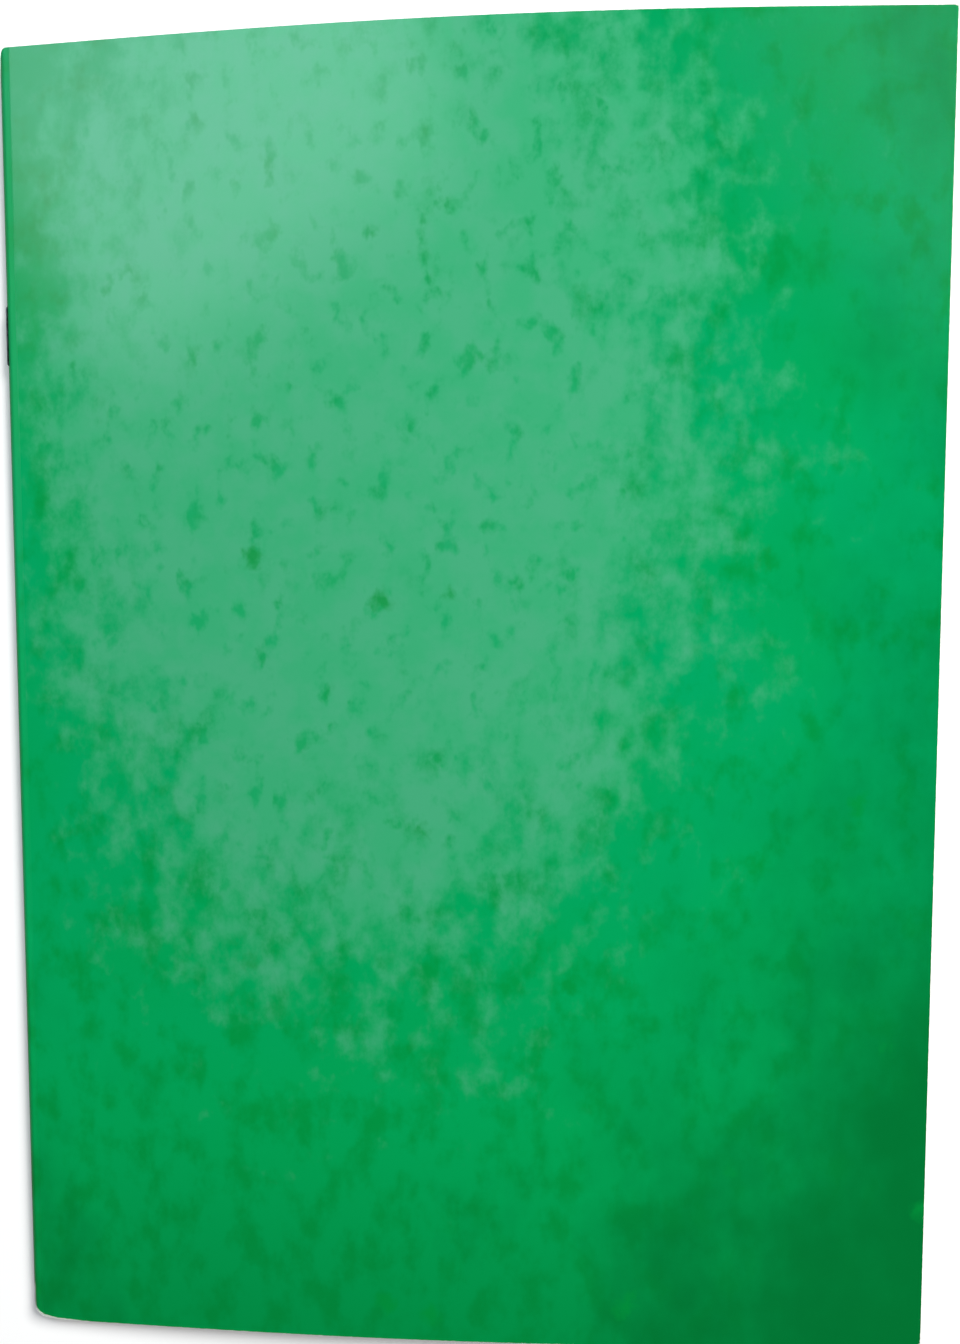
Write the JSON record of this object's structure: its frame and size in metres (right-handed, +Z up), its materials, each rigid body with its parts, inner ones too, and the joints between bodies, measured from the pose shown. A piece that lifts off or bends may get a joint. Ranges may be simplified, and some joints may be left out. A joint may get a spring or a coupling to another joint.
{
  "type": "invoice book",
  "caption": "Stapled A4 account book: folded glossy card cover, nested folded paper sheets and two wire staples, with a cover and leaves that turn at the spine.",
  "frame": {"origin": "middle of the closed book's footprint, on the outer face of the back cover", "axes": "+X from the spine to the fore edge, +Y from the foot to the head, +Z up through the closed book from the back cover to the front cover"},
  "size_m": [0.2104, 0.297, 0.0065],
  "materials": {
    "cover_card": "gloss laminated card with a mottled green print outside and bare cream board inside",
    "page_paper": "uncoated writing paper with faint ruled columns",
    "staple_wire": "bright galvanised wire"
  },
  "bodies": {
    "back": {"back_cover": "cover_card"},
    "fold": {"cover_spine": "cover_card", "sheet_1_fold": "page_paper", "sheet_2_fold": "page_paper", "sheet_3_fold": "page_paper", "sheet_4_fold": "page_paper", "sheet_5_fold": "page_paper", "sheet_6_fold": "page_paper", "sheet_7_fold": "page_paper", "sheet_8_fold": "page_paper", "staple_head": "staple_wire", "staple_foot": "staple_wire"},
    "front_cover": {"front_cover": "cover_card"},
    "leaf_01": {"leaf_01": "page_paper"},
    "leaf_02": {"leaf_02": "page_paper"},
    "leaf_03": {"leaf_03": "page_paper"},
    "leaf_04": {"leaf_04": "page_paper"},
    "leaf_05": {"leaf_05": "page_paper"},
    "leaf_06": {"leaf_06": "page_paper"},
    "leaf_07": {"leaf_07": "page_paper"},
    "leaf_08": {"leaf_08": "page_paper"},
    "leaf_09": {"leaf_09": "page_paper"},
    "leaf_10": {"leaf_10": "page_paper"},
    "leaf_11": {"leaf_11": "page_paper"},
    "leaf_12": {"leaf_12": "page_paper"},
    "leaf_13": {"leaf_13": "page_paper"},
    "leaf_14": {"leaf_14": "page_paper"},
    "leaf_15": {"leaf_15": "page_paper"},
    "leaf_16": {"leaf_16": "page_paper"}
  },
  "joints": [
    {"name": "leaf_01_turn", "type": "hinge", "parent": "back", "child": "leaf_01", "pos_m": [-0.10483, 0, 0.00156], "axis": [0, -1, 0], "range_deg": [0, 177], "deforming": ["cover_spine", "sheet_1_fold", "sheet_2_fold", "sheet_3_fold", "sheet_4_fold", "sheet_5_fold", "sheet_6_fold", "sheet_7_fold", "sheet_8_fold"]},
    {"name": "fold_turn", "type": "hinge", "parent": "back", "child": "fold", "pos_m": [-0.10483, 0, 0.00156], "axis": [0, -1, 0], "range_deg": [0, 88.5]},
    {"name": "cover_turn", "type": "hinge", "parent": "leaf_01", "child": "front_cover", "pos_m": [-0.10251, 0, 0.00347], "axis": [0, -1, 0], "range_deg": [0, 180]},
    {"name": "leaf_02_turn", "type": "hinge", "parent": "back", "child": "leaf_02", "pos_m": [-0.10483, 0, 0.00156], "axis": [0, -1, 0], "range_deg": [0, 177]},
    {"name": "leaf_03_turn", "type": "hinge", "parent": "back", "child": "leaf_03", "pos_m": [-0.10483, 0, 0.00156], "axis": [0, -1, 0], "range_deg": [0, 177]},
    {"name": "leaf_04_turn", "type": "hinge", "parent": "back", "child": "leaf_04", "pos_m": [-0.10483, 0, 0.00156], "axis": [0, -1, 0], "range_deg": [0, 177]},
    {"name": "leaf_05_turn", "type": "hinge", "parent": "back", "child": "leaf_05", "pos_m": [-0.10483, 0, 0.00156], "axis": [0, -1, 0], "range_deg": [0, 177]},
    {"name": "leaf_06_turn", "type": "hinge", "parent": "back", "child": "leaf_06", "pos_m": [-0.10483, 0, 0.00156], "axis": [0, -1, 0], "range_deg": [0, 177]},
    {"name": "leaf_07_turn", "type": "hinge", "parent": "back", "child": "leaf_07", "pos_m": [-0.10483, 0, 0.00156], "axis": [0, -1, 0], "range_deg": [0, 177]},
    {"name": "leaf_08_turn", "type": "hinge", "parent": "back", "child": "leaf_08", "pos_m": [-0.10483, 0, 0.00156], "axis": [0, -1, 0], "range_deg": [0, 177]},
    {"name": "leaf_09_turn", "type": "hinge", "parent": "back", "child": "leaf_09", "pos_m": [-0.10251, 0, 0.00121], "axis": [0, -1, 0], "range_deg": [0, 177]},
    {"name": "leaf_10_turn", "type": "hinge", "parent": "back", "child": "leaf_10", "pos_m": [-0.10251, 0, 0.00109], "axis": [0, -1, 0], "range_deg": [0, 177]},
    {"name": "leaf_11_turn", "type": "hinge", "parent": "back", "child": "leaf_11", "pos_m": [-0.10251, 0, 0.00097], "axis": [0, -1, 0], "range_deg": [0, 177]},
    {"name": "leaf_12_turn", "type": "hinge", "parent": "back", "child": "leaf_12", "pos_m": [-0.10251, 0, 0.00085], "axis": [0, -1, 0], "range_deg": [0, 177]},
    {"name": "leaf_13_turn", "type": "hinge", "parent": "back", "child": "leaf_13", "pos_m": [-0.10251, 0, 0.00073], "axis": [0, -1, 0], "range_deg": [0, 177]},
    {"name": "leaf_14_turn", "type": "hinge", "parent": "back", "child": "leaf_14", "pos_m": [-0.10251, 0, 0.00061], "axis": [0, -1, 0], "range_deg": [0, 177]},
    {"name": "leaf_15_turn", "type": "hinge", "parent": "back", "child": "leaf_15", "pos_m": [-0.10251, 0, 0.00049], "axis": [0, -1, 0], "range_deg": [0, 177]},
    {"name": "leaf_16_turn", "type": "hinge", "parent": "back", "child": "leaf_16", "pos_m": [-0.10251, 0, 0.00037], "axis": [0, -1, 0], "range_deg": [0, 177]}
  ],
  "couplings": [
    {"joint": "fold_turn", "follows": "leaf_01_turn", "ratio": 0.5},
    {"joint": "leaf_02_turn", "follows": "leaf_01_turn", "ratio": 0.985},
    {"joint": "leaf_03_turn", "follows": "leaf_01_turn", "ratio": 0.97},
    {"joint": "leaf_04_turn", "follows": "leaf_01_turn", "ratio": 0.955},
    {"joint": "leaf_05_turn", "follows": "leaf_01_turn", "ratio": 0.94},
    {"joint": "leaf_06_turn", "follows": "leaf_01_turn", "ratio": 0.92},
    {"joint": "leaf_07_turn", "follows": "leaf_01_turn", "ratio": 0.895},
    {"joint": "leaf_08_turn", "follows": "leaf_01_turn", "ratio": 0.86},
    {"joint": "leaf_09_turn", "follows": "leaf_01_turn", "ratio": 0.14},
    {"joint": "leaf_10_turn", "follows": "leaf_01_turn", "ratio": 0.105},
    {"joint": "leaf_11_turn", "follows": "leaf_01_turn", "ratio": 0.08},
    {"joint": "leaf_12_turn", "follows": "leaf_01_turn", "ratio": 0.06},
    {"joint": "leaf_13_turn", "follows": "leaf_01_turn", "ratio": 0.045},
    {"joint": "leaf_14_turn", "follows": "leaf_01_turn", "ratio": 0.03},
    {"joint": "leaf_15_turn", "follows": "leaf_01_turn", "ratio": 0.018},
    {"joint": "leaf_16_turn", "follows": "leaf_01_turn", "ratio": 0.008}
  ]
}
